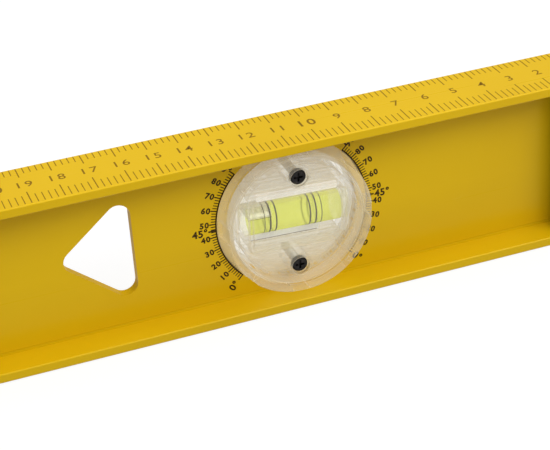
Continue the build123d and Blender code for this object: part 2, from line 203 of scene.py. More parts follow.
def srgb(red, green, blue):
    """A linear colour from 0-255 display values."""
    def linear(value):
        value /= 255
        return value / 12.92 if value <= 0.04045 else ((value + 0.055) / 1.055) ** 2.4
    return (linear(red), linear(green), linear(blue), 1.0)


# ---- materials ------------------------------------------------------------------------------
def beam_paint():
    """Yellow enamel over extruded aluminium: fine orange peel, faint draw lines along the beam."""
    material, tree = new_material("beam_paint")
    broad = noise(tree, scale=14.0, detail=3.0)
    draw_lines = noise(tree, scale=60.0, detail=3.0, stretch=(0.06, 9, 9))
    colour = mix_colour(
        tree, remap(tree, broad, 0.35, 0.65), srgb(232, 188, 10), srgb(238, 195, 12)
    )
    inner = inner_corner(tree)
    # painted shade: a darker yellow in the inner corners and on the openings' walls
    colour = mix_colour(tree, inner, colour, srgb(219, 176, 8))
    # painted shade: the web darkens towards the bottom of the channel
    colour = mix_colour(tree, settled_dust(tree), colour, srgb(176, 136, 4))
    scuffs = noise(tree, scale=240.0, detail=4.0, stretch=(0.25, 1, 1), offset=(3, 1, 2))
    scuff_mask = remap(tree, scuffs, 0.70, 0.80)
    colour = mix_colour(tree, maths(tree, "MULTIPLY", scuff_mask, 0.10), colour, srgb(250, 226, 120))
    peel = noise(tree, scale=1100.0, detail=2.0)
    normal = bump(tree, peel, 0.02 * MM, 0.5)
    normal = bump(tree, draw_lines, 0.02 * MM, 0.12, normal)
    roughness = remap(tree, draw_lines, 0.3, 0.7, 0.27, 0.32)
    paint = add(tree, "BsdfPrincipled", {
        "Base Color": colour, "Roughness": roughness, "Normal": normal,
        "Specular IOR Level": remap(tree, inner, 0, 1, 0.28, 0.02),
        "Specular Tint": (1.0, 0.92, 0.6, 1),
    })
    finish_material(tree, paint.outputs[0])
    return material


def inner_corner(tree):
    """1 where the web meets the flanges and on the openings' walls; there painted shade darkens the colour
    and the specular is turned down.
    """
    flat = add(tree, "NewGeometry").outputs["True Normal"]
    across = maths(tree, "ABSOLUTE", add(tree, "SeparateXYZ", {0: flat}).outputs["Y"])
    turned = maths(tree, "LESS_THAN", across, 0.98)
    in_corner = maths(tree, "LESS_THAN", depth_from_middle(tree), WEB_FACE + ROOT_ROUND)
    height = add(tree, "SeparateXYZ", {0: add(tree, "TexCoord").outputs["Object"]}).outputs["Z"]
    from_middle = maths(tree, "ABSOLUTE", maths(tree, "SUBTRACT", height, BEAM_TOP / 2))
    inside = maths(tree, "LESS_THAN", from_middle, BEAM_TOP / 2 - FLANGE_SKIN)
    return maths(tree, "MULTIPLY", maths(tree, "MULTIPLY", turned, in_corner), inside)


def settled_dust(tree):
    """Painted shade on the web's faces: darker towards the bottom of the channel, fading out upwards."""
    flat = add(tree, "NewGeometry").outputs["True Normal"]
    across = maths(tree, "ABSOLUTE", add(tree, "SeparateXYZ", {0: flat}).outputs["Y"])
    on_web = maths(tree, "MULTIPLY", maths(tree, "GREATER_THAN", across, 0.5), maths(
        tree, "LESS_THAN", depth_from_middle(tree), WEB_FACE + ROOT_ROUND,
    ))
    height = add(tree, "SeparateXYZ", {0: add(tree, "TexCoord").outputs["Object"]}).outputs["Z"]
    low_down = remap(tree, height, 3.5 * MM, 26 * MM, 0.22, 0.0)
    return maths(tree, "MULTIPLY", on_web, low_down)


def cap_plastic():
    """Black moulded plastic with a fine spark-eroded grain."""
    material, tree = new_material("cap_plastic")
    grain = noise(tree, scale=2600.0, detail=2.0)
    worn = remap(tree, noise(tree, scale=180.0, detail=4.0), 0.55, 0.75)
    colour = mix_colour(tree, worn, srgb(24, 24, 25), srgb(42, 42, 43))
    plastic = add(tree, "BsdfPrincipled", {
        "Base Color": colour,
        "Roughness": remap(tree, grain, 0.3, 0.7, 0.5, 0.68),
        "Normal": bump(tree, grain, 0.03 * MM, 0.7),
    })
    finish_material(tree, plastic.outputs[0])
    return material


def lets_light_through(tree, shader, tint):
    """Shadow and diffuse rays pass straight through, so that what lies inside is lit."""
    path = add(tree, "LightPath").outputs
    passing = maths(tree, "MAXIMUM", path["Is Shadow Ray"], path["Is Diffuse Ray"])
    through = add(tree, "BsdfTransparent", {"Color": tint}).outputs[0]
    return add(tree, "MixShader", {0: passing, 1: shader, 2: through}).outputs[0]


def clear_shader(tree, tint, roughness, haze, haze_colour, through=None, sheen=1.0):
    """Clear plastic: a sheen that grows edge-on, over a haze, over what is seen through it."""
    ripple = noise(tree, scale=130.0, detail=2.0)
    fine = noise(tree, scale=900.0, detail=3.0)
    normal = bump(tree, ripple, 0.05 * MM, 0.6)
    edge_on = add(tree, "LayerWeight", {"Blend": 0.5, "Normal": normal}).outputs["Facing"]
    if through is None:
        through = add(tree, "BsdfTransparent", {"Color": tint}).outputs[0]
    # the haze carries a painted glow (emission)
    milk = lit_milk(tree, haze_colour, PAINTED_GLOW)
    shader = add(tree, "MixShader", {0: haze, 1: through, 2: milk}).outputs[0]
    gloss = add(tree, "BsdfGlossy", {
        "Roughness": remap(tree, fine, 0.3, 0.7, roughness * 0.6, roughness * 1.4),
        "Normal": normal,
    }).outputs[0]
    reflected = maths(tree, "MULTIPLY", maths(tree, "POWER", edge_on, 5.0), 1 - FACE_SHEEN)
    reflected = maths(tree, "MULTIPLY", maths(tree, "ADD", reflected, FACE_SHEEN), sheen)
    shader = add(tree, "MixShader", {0: reflected, 1: shader, 2: gloss}).outputs[0]
    return lets_light_through(tree, shader, tint)


def sharp_edges(tree):
    """1 along the moulding's edges, where a painted highlight goes, fading to 0 beside them."""
    rounded = add(tree, "Bevel", {"Radius": EDGE_WIDTH}, samples=4).outputs[0]
    flat = add(tree, "NewGeometry").outputs["Normal"]
    match = add(tree, "VectorMath", {0: rounded, 1: flat}, operation="DOT_PRODUCT").outputs["Value"]
    return remap(tree, match, 0.98, 0.80)


def wall_haze(tree, share):
    """Haze of walls seen edge-on, where the eye looks along a great depth of plastic."""
    edge_on = add(tree, "LayerWeight", {"Blend": 0.5}).outputs["Facing"]
    return maths(tree, "MULTIPLY", maths(tree, "POWER", edge_on, 2.0), share)


def cloudiness(tree, haze):
    """The plastic's own haze, a little uneven."""
    return remap(tree, noise(tree, scale=60.0, detail=3.0), 0.3, 0.7, haze * 0.8, haze * 1.2)


def depth_from_middle(tree):
    position = add(tree, "TexCoord").outputs["Object"]
    return maths(tree, "ABSOLUTE", add(tree, "SeparateXYZ", {0: position}).outputs["Y"])


def grip_rim(tree):
    """1 on the dial's grip rim, less in its eight notches, 0 inside it."""
    position = add(tree, "TexCoord").outputs["Object"]
    offset = add(tree, "VectorMath", {0: position, 1: DIAL_CENTRE}, operation="SUBTRACT").outputs[0]
    parts = add(tree, "SeparateXYZ", {0: offset}).outputs
    radius = maths(tree, "SQRT", maths(
        tree, "ADD", maths(tree, "POWER", parts["X"], 2.0), maths(tree, "POWER", parts["Z"], 2.0),
    ))
    angle = maths(tree, "ADD", maths(tree, "ARCTAN2", parts["Z"], parts["X"]), DIAL_TILT)
    eighth = math.pi / 4
    from_notch = maths(tree, "PINGPONG", angle, eighth / 2)
    beside_notch = remap(tree, from_notch, NOTCH_HALF_ANGLE, NOTCH_HALF_ANGLE * 1.3, 0.45, 1.0)
    return maths(tree, "MULTIPLY", maths(tree, "GREATER_THAN", radius, RIM_INNER_RADIUS), beside_notch)


def lit_milk(tree, colour, glow_strength):
    """Cloudy plastic lit from both sides, with an emission that paints a glow on it."""
    scatter = add(tree, "BsdfTranslucent", {"Color": colour}).outputs[0]
    diffuse = add(tree, "BsdfDiffuse", {"Color": colour}).outputs[0]
    milk = add(tree, "MixShader", {0: 0.5, 1: scatter, 2: diffuse}).outputs[0]
    glow = add(tree, "Emission", {"Color": colour, "Strength": glow_strength}).outputs[0]
    return add(tree, "AddShader", {0: milk, 1: glow}).outputs[0]


def near_web(tree):
    """1 on the feet of the housings' walls, which are seen through the whole depth of plastic."""
    return maths(tree, "LESS_THAN", depth_from_middle(tree), WEB_FACE + 0.3 * MM)


def screw_axes(screws):
    """Centres of a group's two screws, as points on the middle plane."""
    low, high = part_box(screws)
    middle = (low + high) / 2
    longer = 0 if high.x - low.x > high.z - low.z else 2
    points = [vertex.co for vertex in nodes[screws].data.vertices]
    for side in (-1, 1):
        own = [point for point in points if side * (point[longer] - middle[longer]) > 0]
        xs = [point.x for point in own]
        zs = [point.z for point in own]
        yield Vector(((min(xs) + max(xs)) / 2, 0, (min(zs) + max(zs)) / 2))


def screw_well_rim(tree, screws):
    """1 on a line around each screw well, level with the top of the screw's head."""
    head_top = abs(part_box(screws)[0].y)
    position = add(tree, "TexCoord").outputs["Object"]
    in_wells = 0.0
    for centre in screw_axes(screws):
        offset = add(tree, "VectorMath", {0: position, 1: centre}, operation="SUBTRACT").outputs[0]
        flat = add(tree, "VectorMath", {0: offset, 1: (1, 0, 1)}, operation="MULTIPLY").outputs[0]
        radius = add(tree, "VectorMath", {0: flat}, operation="LENGTH").outputs["Value"]
        in_well = maths(tree, "LESS_THAN", radius, WELL_RADIUS + 0.1 * MM)
        in_wells = maths(tree, "MAXIMUM", in_well, in_wells)
    above = maths(tree, "SUBTRACT", depth_from_middle(tree), head_top)
    level = maths(tree, "LESS_THAN", maths(tree, "ABSOLUTE", above), WELL_LINE / 2)
    return maths(tree, "MULTIPLY", in_wells, level)


def clear_cover(name, screws, is_dial=False):
    """Clear housing: hazier in its walls, with a painted highlight along the edges of its face."""
    material, tree = new_material(name)
    haze = maths(tree, "ADD", cloudiness(tree, 0.04), wall_haze(tree, WALL_HAZE))
    haze = maths(tree, "ADD", haze, maths(tree, "MULTIPLY", near_web(tree), FOOT_HAZE))
    outside = maths(tree, "GREATER_THAN", depth_from_middle(tree), abs(FACE_Y) - 1.6 * MM)
    # painted highlight along the sharp edges of the outer faces
    glow = maths(tree, "MULTIPLY", maths(tree, "MULTIPLY", sharp_edges(tree), outside), EDGE_HIGHLIGHT)
    haze = maths(tree, "ADD", haze, glow)
    if is_dial:
        haze = maths(tree, "ADD", haze, maths(tree, "MULTIPLY", grip_rim(tree), RIM_HAZE))
    haze = maths(tree, "MINIMUM", haze, 1.0)
    tint = mix_colour(
        tree, screw_well_rim(tree, screws), (0.99, 0.986, 0.974, 1), (0.60, 0.59, 0.55, 1)
    )
    finish_material(tree, clear_shader(tree, tint, 0.12, haze, srgb(249, 242, 219)))
    return material


def clear_block(name, vial_place):
    """Clear acrylic that bends light only at its front; its bore's wall doesn't show at all."""
    material, tree = new_material(name)
    tint = (0.995, 0.995, 0.985, 1)
    straight = add(tree, "BsdfTransparent", {"Color": tint}).outputs[0]
    bent = add(tree, "BsdfRefraction", {"Color": tint, "IOR": BLOCK_BEND, "Roughness": 0.0}).outputs[0]
    facing = add(tree, "SeparateXYZ", {0: add(tree, "NewGeometry").outputs["True Normal"]}).outputs["Y"]
    front = maths(tree, "LESS_THAN", facing, -0.9)
    through = add(tree, "MixShader", {0: front, 1: straight, 2: bent}).outputs[0]
    haze = maths(tree, "ADD", cloudiness(tree, 0.01), wall_haze(tree, 0.05))
    shader = clear_shader(tree, tint, 0.05, haze, srgb(240, 240, 232), through, 0.3)
    radius = distance_from_vial_axis(tree, vial_place)
    in_bore = maths(tree, "LESS_THAN", radius, BORE_RADIUS + 0.03 * MM)
    shader = add(tree, "MixShader", {0: in_bore, 1: shader, 2: straight}).outputs[0]
    finish_material(tree, shader)
    return material


def distance_from_vial_axis(tree, vial_place):
    """Distance of the shaded point from the vial's axis, in the block's own coordinates."""
    position = add(tree, "TexCoord").outputs["Object"]
    centre = vial_place.to_translation()
    axis = vial_place.to_3x3() @ Vector((1, 0, 0))
    offset = add(tree, "VectorMath", {0: position, 1: centre}, operation="SUBTRACT").outputs[0]
    across = add(tree, "VectorMath", {0: offset, 1: axis}, operation="CROSS_PRODUCT").outputs[0]
    return add(tree, "VectorMath", {0: across}, operation="LENGTH").outputs["Value"]


def vial_liquid(name, bubble, place):
    """Yellow-green liquid, pale beside the bubble, with a dark line along the bubble's foot."""
    material, tree = new_material(name)
    above = bubble_mask(tree, bubble, place, 0.0)
    foot_line = maths(tree, "SUBTRACT", bubble_mask(tree, bubble, place, -FOOT_LINE), above)
    clear_end = far_wall_at_ends(tree, place)
    pale = maths(tree, "MAXIMUM", above, clear_end)
    tint = mix_colour(tree, pale, (0.93, 0.95, 0.45, 1), (0.98, 0.98, 0.92, 1))
    tint = mix_colour(tree, maths(tree, "MULTIPLY", foot_line, 0.6), tint, (0.35, 0.33, 0.05, 1))
    clear = add(tree, "BsdfTransparent", {"Color": tint}).outputs[0]
    cloud = remap(tree, noise(tree, scale=220.0, detail=3.0), 0.3, 0.7, 0.96, 1.04)
    # painted glow: the liquid's body emits at twice the plastic's strength
    body = lit_milk(tree, (0.84, 0.92, 0.10, 1), 2 * PAINTED_GLOW)
    share = maths(tree, "MULTIPLY", cloud, 0.33)
    share = maths(tree, "MULTIPLY", share, maths(tree, "SUBTRACT", 1.0, pale))
    share = maths(tree, "MULTIPLY", share, remap(tree, foot_line, 0, 1, 1.0, 0.3))
    shader = add(tree, "MixShader", {0: share, 1: clear, 2: body}).outputs[0]
    finish_material(tree, lets_light_through(tree, shader, (0.97, 0.98, 0.80, 1)))
    return material


def far_wall_at_ends(tree, place):
    """1 on the liquid's end faces, and near them on the wall seen from inside."""
    position = add(tree, "TexCoord").outputs["Object"]
    offset = add(tree, "VectorMath", {
        0: position, 1: place.to_translation(),
    }, operation="SUBTRACT").outputs[0]
    axis = place.to_3x3() @ Vector((1, 0, 0))
    along = add(tree, "VectorMath", {0: offset, 1: axis}, operation="DOT_PRODUCT").outputs["Value"]
    along = maths(tree, "ABSOLUTE", along)
    near_end = maths(tree, "GREATER_THAN", along, LIQUID_LENGTH / 2 - PALE_END)
    inside = maths(tree, "MULTIPLY", near_end, add(tree, "NewGeometry").outputs["Backfacing"])
    on_face = maths(tree, "GREATER_THAN", along, LIQUID_LENGTH / 2 - 0.5 * MM)
    return maths(tree, "MAXIMUM", inside, on_face)


def bubble_mask(tree, bubble, place, lift):
    """1 where a point is beside the bubble or at most -lift below it, else 0."""
    low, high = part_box(bubble)
    centre = (low + high) / 2
    half = bubble_half_length(bubble)
    axis = place.to_3x3() @ Vector((1, 0, 0))
    position = add(tree, "TexCoord", object=nodes[bubble]).outputs["Object"]
    offset = add(tree, "VectorMath", {0: position, 1: centre}, operation="SUBTRACT").outputs[0]
    along = add(tree, "VectorMath", {0: offset, 1: axis}, operation="DOT_PRODUCT").outputs["Value"]
    within = maths(tree, "LESS_THAN", maths(tree, "ABSOLUTE", along), half)
    up = place.to_3x3() @ Vector((0, 0, 1))
    level = up.dot(place.to_translation() - centre) + bubble_floor(bubble) + lift
    height = add(tree, "VectorMath", {0: offset, 1: up}, operation="DOT_PRODUCT").outputs["Value"]
    above = maths(tree, "GREATER_THAN", height, level)
    return maths(tree, "MULTIPLY", within, above)


def bubble_half_length(bubble):
    place = vial_places()[bubble.split("_")[0]]
    local = [place.inverted() @ vertex.co for vertex in nodes[bubble].data.vertices]
    return (max(p.x for p in local) - min(p.x for p in local)) / 2


def bubble_floor(bubble):
    """Height of the bubble's flat underside above the vial's axis."""
    place = vial_places()[bubble.split("_")[0]]
    return min((place.inverted() @ vertex.co).z for vertex in nodes[bubble].data.vertices)


def bubble_air():
    """Air in liquid: bright and mottled, with a dark outline where its surface is seen edge-on."""
    material, tree = new_material("bubble_air")
    ripple = noise(tree, scale=700.0, detail=3.0)
    normal = bump(tree, ripple, 0.05 * MM, 0.6)
    edge_on = add(tree, "LayerWeight", {"Blend": 0.5, "Normal": normal}).outputs["Facing"]
    outline = remap(tree, edge_on, 0.6, 1.0)
    tint = mix_colour(tree, outline, (1, 1, 0.97, 1), (0.35, 0.37, 0.25, 1))
    through = add(tree, "BsdfTransparent", {"Color": tint}).outputs[0]
    gloss = add(tree, "BsdfGlossy", {"Roughness": 0.15, "Normal": normal}).outputs[0]
    # painted glow in the bubble's cloudy part
    milk = lit_milk(tree, srgb(244, 243, 234), PAINTED_GLOW)
    mottle = remap(tree, ripple, 0.35, 0.65, 0.30, 0.60)
    shader = add(tree, "MixShader", {0: mottle, 1: through, 2: milk}).outputs[0]
    shader = add(tree, "MixShader", {0: 0.10, 1: shader, 2: gloss}).outputs[0]
    finish_material(tree, lets_light_through(tree, shader, (1, 1, 1, 1)))
    return material


def screw_metal():
    """Black-oxidised head, slightly polished, on a plain bright shank."""
    material, tree = new_material("screw_steel")
    wear = remap(tree, noise(tree, scale=900.0, detail=4.0), 0.55, 0.75)
    head = mix_colour(tree, wear, srgb(22, 19, 18), srgb(58, 52, 48))
    shank = mix_colour(tree, wear, srgb(196, 196, 194), srgb(150, 150, 148))
    is_head = maths(tree, "GREATER_THAN", depth_from_middle(tree), SCREW_HEAD_FOOT)
    steel = add(tree, "BsdfPrincipled", {
        "Base Color": mix_colour(tree, is_head, shank, head), "Metallic": 0.6,
        "Roughness": remap(tree, wear, 0, 1, 0.45, 0.3),
        "Normal": bump(tree, noise(tree, scale=2500.0, detail=2.0), 0.01 * MM, 0.5),
    })
    finish_material(tree, steel.outputs[0])
    return material


def plug_plastic():
    material, tree = new_material("plug_plastic")
    haze = maths(tree, "ADD", cloudiness(tree, 0.10), wall_haze(tree, 0.10))
    tint = (0.97, 0.97, 0.93, 1)
    finish_material(tree, clear_shader(tree, tint, 0.15, haze, srgb(236, 236, 222)))
    return material


def white_plastic(name, glow):
    """White backing band of a vial: satin, with faint moulding flow and a painted glow (emission) in place
    of light through it.
    """
    material, tree = new_material(name)
    flow = noise(tree, scale=160.0, detail=3.0, stretch=(0.2, 1, 1))
    colour = mix_colour(tree, remap(tree, flow, 0.3, 0.7), srgb(246, 246, 246), srgb(252, 252, 253))
    plastic = add(tree, "BsdfPrincipled", {
        "Base Color": colour, "Roughness": remap(tree, flow, 0.3, 0.7, 0.35, 0.5),
        "Normal": bump(tree, flow, 0.02 * MM, 0.3),
        "Emission Color": colour, "Emission Strength": glow,
    })
    finish_material(tree, plastic.outputs[0])
    return material


def print_ink(name, colour, thin):
    """Screen-printed ink: uneven cover at a fine scale, so that the paint shows through a little."""
    material, tree = new_material(name)
    speckle = noise(tree, scale=4200.0, detail=3.0)
    cover = remap(tree, speckle, 0.30, 0.62, 1 - thin, 1.0)
    shade = mix_colour(tree, cover, srgb(205, 160, 40), colour)
    ink = add(tree, "BsdfPrincipled", {
        "Base Color": shade, "Roughness": remap(tree, speckle, 0.3, 0.7, 0.45, 0.6),
        "Normal": bump(tree, speckle, 0.01 * MM, 0.4), "Specular IOR Level": 0.15,
    })
    finish_material(tree, ink.outputs[0])
    return material


# ---- mesh helpers -----------------------------------------------------------------------------
def piece_from(builder_mesh, name, body, material, smooth=False):
    """Turns a bmesh into a named piece that rides on a CAD body."""
    bmesh.ops.recalc_face_normals(builder_mesh, faces=builder_mesh.faces)
    mesh = bpy.data.meshes.new(name)
    builder_mesh.to_mesh(mesh)
    builder_mesh.free()
    for polygon in mesh.polygons:
        polygon.use_smooth = smooth
    piece = bpy.data.objects.new(name, mesh)
    bpy.context.scene.collection.objects.link(piece)
    mesh.materials.append(material)
    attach(piece, body)
    return piece


def add_prism(target, outline, place, bottom, top):
    """A closed prism: outline points in the local X-Y plane, from bottom to top along local Z."""
    lower = [target.verts.new(place @ Vector((x, y, bottom))) for x, y in outline]
    upper = [target.verts.new(place @ Vector((x, y, top))) for x, y in outline]
    target.faces.new(list(reversed(lower)))
    target.faces.new(upper)
    count = len(outline)
    for index in range(count):
        following = (index + 1) % count
        target.faces.new((lower[index], lower[following], upper[following], upper[index]))


def add_bar(target, place, length, width):
    """A printed line, length along the local X axis and centred, standing INK_RISE proud."""
    half_length, half_width = length / 2, width / 2
    outline = [
        (-half_length, -half_width), (half_length, -half_width),
        (half_length, half_width), (-half_length, half_width),
    ]
    add_prism(target, outline, place, -INK_SINK, INK_RISE)


def text_mesh(text, height, spacing, bold):
    """A closed, thin mesh of a text, centred on the origin in the X-Y plane."""
    curve = bpy.data.curves.new("digits", "FONT")
    curve.body = text
    curve.size = 1.0
    curve.space_character = spacing
    curve.offset = bold
    curve.extrude = 0.5
    curve.resolution_u = 3
    curve.align_x = "CENTER"
    writer = bpy.data.objects.new("digits", curve)
    mesh = bpy.data.meshes.new_from_object(writer)
    letters = bmesh.new()
    letters.from_mesh(mesh)
    bmesh.ops.remove_doubles(letters, verts=letters.verts, dist=1e-4)
    xs = [vertex.co.x for vertex in letters.verts]
    ys = [vertex.co.y for vertex in letters.verts]
    scale = height / reference_digit_height()
    middle = Vector(((max(xs) + min(xs)) / 2, (max(ys) + min(ys)) / 2, 0))
    for vertex in letters.verts:
        local = vertex.co - middle
        z = INK_RISE if local.z > 0 else -INK_SINK
        vertex.co = Vector((local.x * scale, local.y * scale, z))
    bpy.data.objects.remove(writer)
    bpy.data.curves.remove(curve)
    bpy.data.meshes.remove(mesh)
    return letters


@functools.cache
def reference_digit_height():
    """Height of a figure in the font at size 1."""
    curve = bpy.data.curves.new("figure", "FONT")
    curve.body = "0"
    writer = bpy.data.objects.new("figure", curve)
    mesh = bpy.data.meshes.new_from_object(writer)
    ys = [vertex.co.y for vertex in mesh.vertices]
    height = max(ys) - min(ys)
    bpy.data.objects.remove(writer)
    bpy.data.curves.remove(curve)
    bpy.data.meshes.remove(mesh)
    return height


def add_text(target, text, place, height, spacing=1.0, bold=0.0):
    letters = text_mesh(text, height, spacing, bold)
    copies = {vertex: target.verts.new(place @ vertex.co) for vertex in letters.verts}
    for face in letters.faces:
        target.faces.new([copies[vertex] for vertex in face.verts])
    letters.free()


# ---- ruler on the top flange --------------------------------------------------------------------
def ruler_print():
    """Centimetres counted from the right-hand end, with 2 mm divisions along both edges."""
    ink = bmesh.new()
    rows = ((RULER_FRONT_EDGE, RULER_FRONT_ENDS), (RULER_BACK_EDGE, RULER_BACK_ENDS))
    divisions = round((ZERO_END - beam_low.x) / RULER_STEP)
    for division in range(1, divisions):
        x = ZERO_END - division * RULER_STEP
        kind = "long" if division % STEPS_PER_CENTIMETRE == 0 else "short"
        for edge, ends in rows:
            middle = (edge + ends[kind]) / 2
            place = Matrix.Translation((x, middle, BEAM_TOP)) @ Matrix.Rotation(math.pi / 2, 4, "Z")
            add_bar(ink, place, abs(ends[kind] - edge), RULER_WIDTHS[kind])
    right, back = RULER_FIGURE_OFFSET
    for centimetre in range(1, divisions // STEPS_PER_CENTIMETRE):
        x = ZERO_END - centimetre * 10 * MM
        if abs(x) < WINDOW_HALF:
            continue
        place = Matrix.Translation((x + right, back, BEAM_TOP))
        kind = "tens" if centimetre % 10 == 0 else "other"
        add_text(
            ink, str(centimetre), place, FIGURE_HEIGHTS[kind], spacing=1.25, bold=FIGURE_BOLDNESS[kind]
        )
    return piece_from(ink, "ruler_print", "beam", materials["ruler_ink"])


# ---- angle scale around the dial ------------------------------------------------------------------
def web_place(side):
    """Maps local X-Y-Z to right-up-out on the web's front (-1) or rear (+1) face."""
    turn = Matrix.Rotation(math.pi / 2, 4, "X")
    if side > 0:
        turn = Matrix.Rotation(math.pi, 4, "Z") @ turn
    return Matrix.Translation((DIAL_CENTRE.x, side * WEB_FACE, DIAL_CENTRE.z)) @ turn


def add_arc(target, place, radius, width, start, end):
    """A printed arc from start to end, in degrees."""
    degrees_per_step = 3
    steps = round((end - start) / degrees_per_step)
    angles = [math.radians(start + (end - start) * step / steps) for step in range(steps + 1)]
    far, near = radius + width / 2, radius - width / 2
    outer = [(far * math.cos(angle), far * math.sin(angle)) for angle in angles]
    inner = [(near * math.cos(angle), near * math.sin(angle)) for angle in angles]
    add_prism(target, outer + list(reversed(inner)), place, -INK_SINK, INK_RISE)


def angle_scale_print(side):
    """0 to 90 degrees on both sides of the dial, 0 at the bottom, in 2 degree divisions."""
    ink = bmesh.new()
    web = web_place(side)
    for half in (-1, 1):
        for value in range(0, 91, SCALE_STEP):
            kind = "long" if value % 10 == 0 else "short"
            add_scale_line(ink, web, half_angle(half, value), kind)
        add_scale_line(ink, web, half_angle(half, 45), "halfway")
        for value in range(10, 90, 10):
            place = web @ upright_radial(half, half_angle(half, value), SCALE_FIGURE_RADIUS)
            add_text(ink, str(value), place, SCALE_FIGURE_HEIGHT, spacing=1.2, bold=0.045)
        for value, radius in SCALE_DEGREE_RADII.items():
            place = web @ upright_radial(half, half_angle(half, value), radius)
            add_text(ink, f"{value}°", place, SCALE_DEGREE_HEIGHT, spacing=1.1, bold=0.035)
        start, end = sorted((half_angle(half, 0), half_angle(half, 90)))
        add_arc(ink, web, SCALE_FOOT + SCALE_ARC_OFFSET, SCALE_ARC_WIDTH, start, end)
    name = "angle_scale_front" if side < 0 else "angle_scale_rear"
    return piece_from(ink, name, "beam", materials["scale_ink"])


def add_scale_line(target, web, angle, kind):
    """One line of the angle scale, from the dial's edge outwards."""
    length = SCALE_LENGTHS[kind]
    add_bar(target, web @ radial(angle, SCALE_FOOT + length / 2), length, SCALE_WIDTHS[kind])


def half_angle(half, value):
    """Position angle in degrees of a scale value; half is -1 for the left scale, +1 for the right."""
    return value - 45 if half > 0 else 225 - value


def radial(angle, radius):
    """Local X along the radius at an angle in degrees."""
    return Matrix.Rotation(math.radians(angle), 4, "Z") @ Matrix.Translation((radius, 0, 0))


def upright_radial(half, angle, radius):
    """As radial, but the left-hand scale's figures read from outside inwards."""
    turn = Matrix.Rotation(math.pi, 4, "Z") if half < 0 else Matrix.Identity(4)
    return radial(angle, radius) @ turn


# ---- vials ------------------------------------------------------------------------------------------
def vial_places():
    """Each vial's place: origin at the block's centre, local X along the vial, front facing -Y."""
    turns = {"angle": DIAL_TILT, "plumb": -math.pi / 2, "centre": 0.0}
    places = {}
    for name, turn in turns.items():
        low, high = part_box(name + "_vial_block")
        places[name] = Matrix.Translation((low + high) / 2) @ Matrix.Rotation(turn, 4, "Y")
    return places


def add_revolved(target, place, profile, segments=64):
    """Strips revolved about local X from (x, radius) points; the caller closes the ends."""
    rings = []
    for x, radius in profile:
        ring = []
        for index in range(segments):
            angle = index * 2 * math.pi / segments
            point = Vector((x, radius * math.cos(angle), radius * math.sin(angle)))
            ring.append(target.verts.new(place @ point))
        rings.append(ring)
    for first, second in zip(rings, rings[1:]):
        join_rings(target, first, second)
    return rings


def liquid_fill(name, place, body):
    """The liquid's whole column, its end faces slightly sunk; the bubble moves inside it."""
    radius = BORE_RADIUS - LIQUID_GAP
    half = LIQUID_LENGTH / 2 - LIQUID_GAP
    profile = []
    steps = 8
    for step in range(1, steps + 1):
        angle = step / steps * math.pi / 2
        profile.append((
            -half + LIQUID_DISH * (1 - math.sin(angle)), radius - LIQUID_DISH * math.cos(angle)
        ))
    profile += [(-x, r) for x, r in reversed(profile)]
    shape = bmesh.new()
    rings = add_revolved(shape, place, profile)
    shape.faces.new(list(reversed(rings[0])))
    shape.faces.new(rings[-1])
    bubble = name + "_vial_bubble"
    material = vial_liquid(name + "_liquid", bubble, place)
    piece = piece_from(shape, name + "_liquid_fill", body, material, smooth=True)
    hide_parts(name + "_vial_liquid")
    return piece


def ring_lines(name, place, body):
    """Painted rings around the bore, in mirrored groups either side of the middle."""
    shape = bmesh.new()
    inner, outer = BORE_RADIUS - 0.01 * MM, BORE_RADIUS + 0.06 * MM
    for offset, width in zip(RING_OFFSETS, RING_WIDTHS):
        for side in (-1, 1):
            middle = RING_CENTRES[name] + side * offset
            low, high = middle - width / 2, middle + width / 2
            profile = [(low, inner), (low, outer), (high, outer), (high, inner)]
            rings = add_revolved(shape, place, profile)
            join_rings(shape, rings[-1], rings[0])
    return piece_from(shape, name + "_ring_lines", body, materials["ring_ink"])


def join_rings(target, first, second):
    """A strip of faces between two rings of as many points."""
    count = len(first)
    for index in range(count):
        following = (index + 1) % count
        target.faces.new((first[index], first[following], second[following], second[index]))


def vial_bands(name, place, body):
    """White backing bands above and below the bore, the lower one with a dark strip of painted shade along
    its edge.
    """
    face = place @ Matrix.Rotation(math.pi / 2, 4, "X")
    inner, outer = BORE_RADIUS + 0.25 * MM, BLOCK_HEIGHT / 2 - 0.15 * MM
    middle, half = (inner + outer) / 2, (outer - inner) / 2
    upper = bmesh.new()
    left, right = UPPER_BAND_SPAN
    outline = rounded_rectangle((left + right) / 2, middle, (right - left) / 2, half, BAND_CORNER)
    add_prism(upper, outline, face, UPPER_BAND_BACK, BAND_HALF_DEPTH)
    piece_from(upper, name + "_upper_band", body, materials["upper_band"])
    lower = bmesh.new()
    left, right = LOWER_BAND_SPAN
    centre, half_length = (left + right) / 2, (right - left) / 2
    outline = rounded_rectangle(centre, -middle, half_length, half, BAND_CORNER)
    add_prism(lower, outline, face, -BAND_HALF_DEPTH, BAND_HALF_DEPTH)
    piece_from(lower, name + "_lower_band", body, materials["lower_band"])
    # painted shade: a dark strip along the lower band's bottom edge
    line = bmesh.new()
    edge = -middle - half + 0.1 * MM
    outline = rounded_rectangle(centre, edge, half_length - BAND_CORNER, 0.09 * MM, 0.05 * MM)
    add_prism(line, outline, face, BAND_HALF_DEPTH - INK_SINK, BAND_HALF_DEPTH + 0.1 * MM)
    piece_from(line, name + "_band_line", body, materials["band_edge_shade"])


def rounded_rectangle(x, y, half_length, half_height, corner, steps=4):
    outline = []
    for quarter, (sign_x, sign_y) in enumerate(((1, 1), (-1, 1), (-1, -1), (1, -1))):
        for step in range(steps + 1):
            angle = (quarter + step / steps) * math.pi / 2
            outline.append((
                x + sign_x * (half_length - corner) + corner * math.cos(angle),
                y + sign_y * (half_height - corner) + corner * math.sin(angle),
            ))
    return outline


